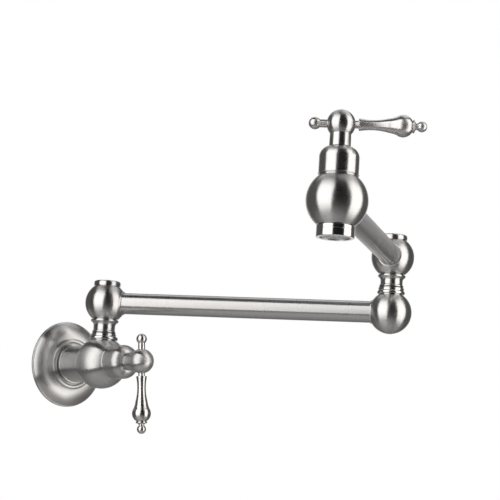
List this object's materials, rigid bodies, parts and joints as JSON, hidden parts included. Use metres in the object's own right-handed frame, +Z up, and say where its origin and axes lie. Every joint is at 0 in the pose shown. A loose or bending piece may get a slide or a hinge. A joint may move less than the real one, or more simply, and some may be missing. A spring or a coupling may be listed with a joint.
{
  "type": "wall mounted pot filler tap",
  "caption": "Wall mounted folding pot filler: round flange, lever valve at the wall, swinging tube arms on ball swivels, and a lever valve over an aerated outlet at the spout.",
  "frame": {"origin": "centre of the wall flange's back face, on the wall plane and the inlet's axis", "axes": "+Y into the wall along the inlet, +Z up, +X to the right seen from the room"},
  "size_m": [0.2145, 0.3836, 0.1971],
  "materials": {
    "brushed_nickel": "brushed satin nickel, slightly warm grey",
    "polished_nickel": "finely finished nickel, slightly warm grey",
    "brass": "machined brass",
    "rubber": "matte black rubber",
    "ceramic": "lapped white ceramic",
    "acetal": "black acetal",
    "stainless": "plain stainless steel",
    "insert_plastic": "pale grey moulded plastic"
  },
  "bodies": {
    "wall_valve": {"wall_gasket": "rubber", "wall_flange": "brushed_nickel", "inlet_shank": "brushed_nickel", "inlet_seal": "rubber", "valve_body": "brushed_nickel", "wall_cartridge_body": "brass", "wall_seat_seal": "rubber", "wall_fixed_disc": "ceramic", "wall_bonnet": "brushed_nickel", "lower_swivel_collar": "polished_nickel", "lower_swivel_post": "brass", "lower_swivel_o_rings": "rubber", "lower_thrust_washer": "acetal", "lower_retaining_washer": "acetal", "lower_retaining_ring": "stainless"},
    "wall_handle": {"wall_spindle": "brass", "wall_spindle_o_ring": "rubber", "wall_moving_disc": "ceramic", "wall_handle_hub": "brushed_nickel", "wall_handle_lever": "polished_nickel", "wall_handle_finial": "polished_nickel", "wall_handle_screw": "stainless"},
    "inner_arm": {"lower_swivel_sleeve": "brushed_nickel", "inner_pivot_ball": "brushed_nickel", "inner_pivot_cap": "brushed_nickel", "inner_cap_seal": "rubber", "inner_arm_tube": "brushed_nickel", "elbow_ball": "brushed_nickel", "elbow_swivel_collar": "polished_nickel", "elbow_swivel_post": "brass", "elbow_swivel_o_rings": "rubber", "elbow_thrust_washer": "acetal", "elbow_retaining_washer": "acetal", "elbow_retaining_ring": "stainless"},
    "outer_arm": {"elbow_swivel_sleeve": "brushed_nickel", "outer_pivot_ball": "brushed_nickel", "outer_pivot_cap": "brushed_nickel", "outer_cap_seal": "rubber", "outer_arm_tube": "brushed_nickel", "spout_body": "brushed_nickel", "spout_cartridge_body": "brass", "spout_seat_seal": "rubber", "spout_fixed_disc": "ceramic", "spout_bonnet": "brushed_nickel", "spout_outlet": "polished_nickel", "outlet_seal": "rubber", "aerator_housing": "polished_nickel", "aerator_washer": "rubber", "aerator_insert": "insert_plastic", "aerator_screen": "stainless"},
    "spout_handle": {"spout_spindle": "brass", "spout_spindle_o_ring": "rubber", "spout_moving_disc": "ceramic", "spout_handle_hub": "brushed_nickel", "spout_handle_lever": "polished_nickel", "spout_handle_finial": "polished_nickel", "spout_handle_screw": "stainless"}
  },
  "joints": [
    {"name": "wall_handle_turn", "type": "hinge", "parent": "wall_valve", "child": "wall_handle", "pos_m": [0, -0.09349, 0], "axis": [0, -1, 0], "range_deg": [0, 90]},
    {"name": "inner_arm_swing", "type": "hinge", "parent": "wall_valve", "child": "inner_arm", "pos_m": [0, -0.045, 0.0456], "axis": [0, 0, 1], "range_deg": [-125.8, 54.2]},
    {"name": "outer_arm_swing", "type": "hinge", "parent": "inner_arm", "child": "outer_arm", "pos_m": [0.12694, -0.221, 0.0865], "axis": [0, 0, 1], "range_deg": [-88.5, 271.5]},
    {"name": "spout_handle_turn", "type": "hinge", "parent": "outer_arm", "child": "spout_handle", "pos_m": [-0.05233, -0.34329, 0.13499], "axis": [0, 0, 1], "range_deg": [0, 90]}
  ]
}
